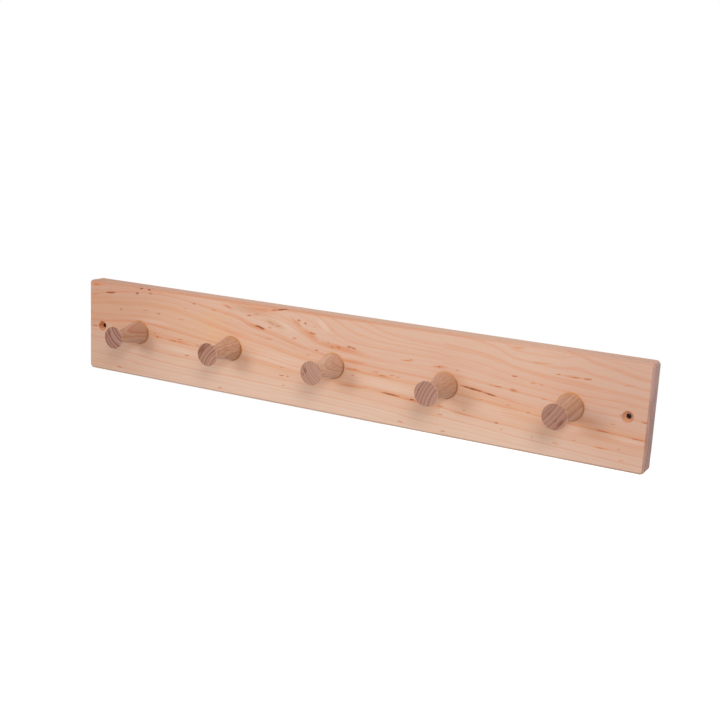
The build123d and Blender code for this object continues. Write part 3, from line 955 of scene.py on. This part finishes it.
POOL_SPREAD = (-6.0, 17.0)   # mm from the upper left of a peg to its lower right
STAIN_START = 0.5            # mm up the foot where glue stain and painted shade begin to fade
GLUE_STAIN_AND_SHADE_SHARE = 0.7


def glue_pooled_and_shaded(tree, right, up):
    """0 at a peg's upper left, 1 at its lower right, where glue ran together and where painted shade falls."""
    return smooth_range(tree, minus(tree, right, up), *POOL_SPREAD)


def finish_peg(name):
    """One peg: warm side and greyer head, with its own rings, stains and fine pores."""
    side, head, side_rings, head_rings, streak_share = PEG_TONES[name]
    material, tree, surface, place, normal = new_finish(f"turned_{name}", PEG_ROUGHNESS, PEG_SHINE)
    surface.inputs["Sheen Weight"].default_value = PEG_DUST
    distance = from_stick_heart(tree, place, name)
    facing_out = sums(tree, "ABSOLUTE", parts(tree, normal)["Y"])
    on_head = smooth_range(tree, facing_out, *HEAD_FACING)
    wood = side
    if name in BROWN_HEARTS:
        edge, share = BROWN_HEARTS[name]
        brown = smooth_range(tree, distance, edge - HEART_EDGE, edge, share, 0.0)
        wood = tint(tree, brown, wood, HEART_BROWN)
    x, y, z = parts(tree, place)
    rim_end = HEAD_Y / MM + RIM_REACH
    # painted highlight: the rim of the head is painted paler
    rim_highlight = smooth_range(tree, y, rim_end - RIM_EDGE, rim_end, RIM_SHARE, 0.0)
    wood = tint(tree, on_head, tint(tree, rim_highlight, wood, RIM_PAINTED_HIGHLIGHT), head)
    years = shade_between(tree, distance, STICK_YEARS[name])
    shown = times(tree, years, smooth_range(tree, on_head, 0.0, 1.0, side_rings, head_rings))
    wood = tint(tree, shown, wood, tint(tree, on_head, RING_SIDE, RING_HEAD))
    stains = smooth_range(tree, ovals(tree, place, HEAD_STAINS[name], HEAD_Y), *STAIN_FADE, 0.0, STAIN_SHARE)
    wood = tint(tree, times(tree, stains, on_head), wood, STAIN_BROWN)
    streaks = cloudy(tree, place, STREAK_GRAIN, 3.0, 0.6)
    streaks = smooth_range(tree, streaks, *STREAK_CONTRAST, 0.0, streak_share)
    streaks = times(tree, streaks, smooth_range(tree, on_head, 0.0, 1.0, 1.0, STREAKS_ON_HEAD))
    wood = tint(tree, streaks, wood, PORE_DARK)
    pores = cloudy(tree, place, PORE_GRAIN, 2.0, 0.6)
    wood = lay(tree, wood, pores, PORE_DARK, PORE_SHARE, PORE_CONTRAST)
    # partly glue stain, partly painted shade at the lower right of the foot
    pooled = glue_pooled_and_shaded(tree, minus(tree, x, peg_axes[name].x / MM), z)
    climb = step(tree, "MapRange", pooled, 0.0, 1.0, *GLUE_CLIMB)
    stained_and_shaded = smooth_range(tree, minus(tree, FACE_Y / MM, y), STAIN_START, climb, GLUE_STAIN_AND_SHADE_SHARE, 0.0)
    wood = tint(tree, stained_and_shaded, wood, GLUE_STAIN_AND_SHADE)
    feed(tree, wood, surface.inputs["Base Color"])
    solid_wood = minus(tree, 1.0, smooth_range(tree, pores, *PORE_CONTRAST))
    raise_grain(tree, surface, solid_wood, PORE_DEPTH)
    return material


for name in pegs:
    frame["nodes"][name].material_slots[0].material = finish_peg(name)
print(len(pegs), "pegs finished")

# %% [markdown]
# ## Dried glue round the shoulders
# Glue squeezes out when a peg is pushed home and dries as an amber ring, thick here and thin there.
# A turned ring would be too perfect, so each is a small section of glue carried round the peg, whose width
# and height wander with a smooth noise but never leave the space that the glue has.

# %% Draw the rings of glue
PEG_TAPER = 0.19             # how much thinner the peg's side gets for each step away from the board
GLUE_STEPS = 120
GLUE_CROWN_STEPS = 4
GLUE_SINK = 0.0001           # how far the glue reaches into the wood that it grips
GLUE_LUMPS = 2.2
GLUE_WANDER = 0.4            # how much the lumps change the ring
GLUE_POOL_ANGLE = math.radians(-45)
THINNEST_GLUE = 0.6
RING_APART = 7               # how far apart in the noise two rings lie, so that their lumps differ
LAYER_APART = 3              # and the width and the height of one ring


def glue_share(number, angle, layer):
    """How full the ring is at an angle, from THINNEST_GLUE to 1: fullest at the lower right, and lumpy."""
    apart = RING_APART * number + LAYER_APART * layer
    spot = Vector((math.cos(angle), math.sin(angle), 0.0)) * GLUE_LUMPS + Vector((0, 0, apart))
    wander = noise.noise(spot) * GLUE_WANDER
    pooled = (1 + math.cos(angle - GLUE_POOL_ANGLE)) / 2
    return THINNEST_GLUE + (1 - THINNEST_GLUE) * min(1.0, max(0.0, pooled + wander))


def glue_section(shoulder, width, height):
    """The glue's outline at one angle: (distance from the peg's axis, distance from the board's face)."""
    points = [(shoulder - GLUE_SINK, 0.0)]
    top = shoulder - PEG_TAPER * height - GLUE_SINK
    for i in range(GLUE_CROWN_STEPS + 1):
        turn = math.pi / 2 * i / GLUE_CROWN_STEPS
        points.append((top + (shoulder + width - top) * math.sin(turn), height * math.cos(turn)))
    return points


def glue_ring(number):
    """A closed ring of dried glue round one peg, uneven in width and height."""
    low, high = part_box(f"glue_bead_{number}")
    axis = (low + high) / 2
    shoulder = (peg_boxes[f"peg_{number}"][1].x - peg_boxes[f"peg_{number}"][0].x) / 2
    most_width = (high.x - low.x) / 2 - shoulder
    most_height = high.y - low.y
    mesh = bmesh.new()
    rings = []
    for i in range(GLUE_STEPS):
        angle = math.tau * i / GLUE_STEPS
        width = most_width * glue_share(number, angle, 0)
        height = most_height * glue_share(number, angle, 1)
        section = glue_section(shoulder, width, height)
        out = Vector((math.cos(angle), 0.0, math.sin(angle)))
        base = Vector((axis.x, FACE_Y, axis.z))
        rings.append([mesh.verts.new(base + out * r + Vector((0, -away, 0))) for r, away in section])
    for here, there in zip(rings, rings[1:] + rings[:1]):
        for a, b in zip(range(len(here)), list(range(1, len(here))) + [0]):
            mesh.faces.new((here[a], here[b], there[b], there[a]))
    bmesh.ops.recalc_face_normals(mesh, faces=mesh.faces)
    data = bpy.data.meshes.new(f"dried_glue_{number}")
    mesh.to_mesh(data)
    mesh.free()
    data.shade_smooth()
    ring = bpy.data.objects.new(f"dried_glue_{number}", data)
    bpy.context.scene.collection.objects.link(ring)
    return ring


glue_rings = [glue_ring(number) for number in range(1, len(pegs) + 1)]
print(len(glue_rings), "rings of glue, each with", len(glue_rings[0].data.polygons), "faces")

# %% [markdown]
# ## Amber finish for the glue
# Dried glue is a hard, slightly clear resin: golden where thin, brown where it has pooled, and shinier than
# the wood. Its brown at the lower right is also painted shade. Clouds in its colour keep it from looking like
# plastic, and they also lift its surface a little.

# %% Finish the glue
GLUE_GOLD = rgb(198, 136, 60)
# browner glue at the lower right: partly pooled glue, partly painted shade
GLUE_POOL_AND_SHADE_BROWN = rgb(166, 106, 44)
GLUE_ROUGHNESS = 0.35
GLUE_SHINE = 0.5
GLUE_GRAIN = (0.12, 0.12, 0.12)
GLUE_CLOUDS = 1.4            # how strongly the clouds shift the colour
GLUE_CONTRAST = (0.1, 0.9)


def finish_glue():
    """Golden glue, browner at the lower right, partly as pooled glue and partly as painted shade."""
    material, tree, surface, place, _ = new_finish("dried_glue", GLUE_ROUGHNESS, GLUE_SHINE)
    right, up = from_nearest_peg(tree, place)
    clouds = cloudy(tree, place, GLUE_GRAIN, 3.0, 0.6)
    # partly pooled glue, partly painted shade at the lower right
    pooled = glue_pooled_and_shaded(tree, right, up)
    pooled = sums(tree, "MULTIPLY_ADD", minus(tree, clouds, 0.5), GLUE_CLOUDS, pooled)
    amber = tint(tree, smooth_range(tree, pooled, *GLUE_CONTRAST), GLUE_GOLD, GLUE_POOL_AND_SHADE_BROWN)
    feed(tree, amber, surface.inputs["Base Color"])
    raise_grain(tree, surface, clouds, SANDED_FIBRE_DEPTH)
    return material


glue_finish = finish_glue()
for number, ring in enumerate(glue_rings, start=1):
    ring.data.materials.append(glue_finish)
    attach(ring, "root")
    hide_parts(f"glue_bead_{number}")
print("glue finished")

# %% [markdown]
# ## Floor and white surroundings
# The rail hangs in front of a plain white room. The world and the floor look white but give the rail only
# a plain fill light, because what is seen and what lights the rail are told apart by kind of ray. The floor
# lies well below the rail and keeps its soft shadow.

# %% Floor and world
FLOOR_DEPTH = 0.9
FLOOR_RADIUS = 3.0
FLOOR_EDGES = 64
FLOOR_ROUGHNESS = 0.9
FLOOR_GREY = (0.8, 0.8, 0.8, 1.0)
FLOOR_LIFT = 0.8             # share of the floor's white that doesn't depend on the lamps
FILL_LIGHT = 0.496
FILL_COLOUR = (1.0, 0.965, 0.925, 1.0)   # a trace of warmth, as pale walls give
WHITE = (1.0, 1.0, 1.0, 1.0)


def seen_by_eye(tree):
    """1 for what is seen, straight, in a shine or through something clear, and 0 for light on the rail."""
    rays = step(tree, "LightPath").node.outputs
    seen = sums(tree, "MAXIMUM", rays["Is Camera Ray"], rays["Is Glossy Ray"])
    return sums(tree, "MAXIMUM", seen, rays["Is Transmission Ray"])


def lay_floor():
    """A round pale floor under the rail."""
    mesh = bmesh.new()
    bmesh.ops.create_circle(mesh, cap_ends=True, radius=FLOOR_RADIUS, segments=FLOOR_EDGES)
    data = bpy.data.meshes.new("floor")
    mesh.to_mesh(data)
    mesh.free()
    floor = bpy.data.objects.new("floor", data)
    floor.location.z = -FLOOR_DEPTH
    bpy.context.scene.collection.objects.link(floor)
    material, tree, surface, _, _ = new_finish("pale_floor", FLOOR_ROUGHNESS, 0.0)
    surface.inputs["Base Color"].default_value = FLOOR_GREY
    surface.inputs["Emission Color"].default_value = WHITE
    lift = times(tree, seen_by_eye(tree), FLOOR_LIFT)
    feed(tree, lift, surface.inputs["Emission Strength"])
    data.materials.append(material)


def light_room():
    """A world that is white to look at and gives a plain fill light."""
    world = bpy.data.worlds.new("white_room")
    world.use_nodes = True
    tree = world.node_tree
    backdrop = tree.nodes["Background"]
    feed(tree, tint(tree, seen_by_eye(tree), FILL_COLOUR, WHITE), backdrop.inputs["Color"])
    strength = sums(tree, "MULTIPLY_ADD", seen_by_eye(tree), 1 - FILL_LIGHT, FILL_LIGHT)
    feed(tree, strength, backdrop.inputs["Strength"])
    bpy.context.scene.world = world


lay_floor()
light_room()
print("floor laid", FLOOR_DEPTH, "m below the rail")

# %% [markdown]
# ## Three softboxes
# A large lamp is high on the right and a lower one on the left, so each peg throws two soft shadows on the
# board. A third is overhead and lights the tops of the pegs and the board's top edge. Their power is set so
# that a pale board in their light looks as pale as its colour is written.

# %% Softboxes
# name: (place in metres, width of the lamp in metres, watts)
SOFTBOXES = {
    "softbox_right": (Vector((0.98, -1.43, 1.00)), 0.6, 12.7),
    "softbox_left": (Vector((-0.56, -1.39, 0.38)), 0.45, 5.8),
    "softbox_overhead": (Vector((0.10, -0.35, 1.40)), 0.9, 2.5),
}


def softbox(name, place, width, watts):
    """A square lamp aimed at the middle of the rail."""
    lamp = bpy.data.lights.new(name, "AREA")
    lamp.shape = "SQUARE"
    lamp.size = width
    lamp.energy = watts
    stand = bpy.data.objects.new(name, lamp)
    aim = (-place).to_track_quat("-Z", "Y").to_matrix().to_4x4()
    stand.matrix_world = Matrix.Translation(place) @ aim
    bpy.context.scene.collection.objects.link(stand)


for name, (place, width, watts) in SOFTBOXES.items():
    softbox(name, place, width, watts)
bpy.context.scene.view_settings.view_transform = "Standard"
print("lamps stand", [round(place.length, 2) for place, width, watts in SOFTBOXES.values()], "m away")
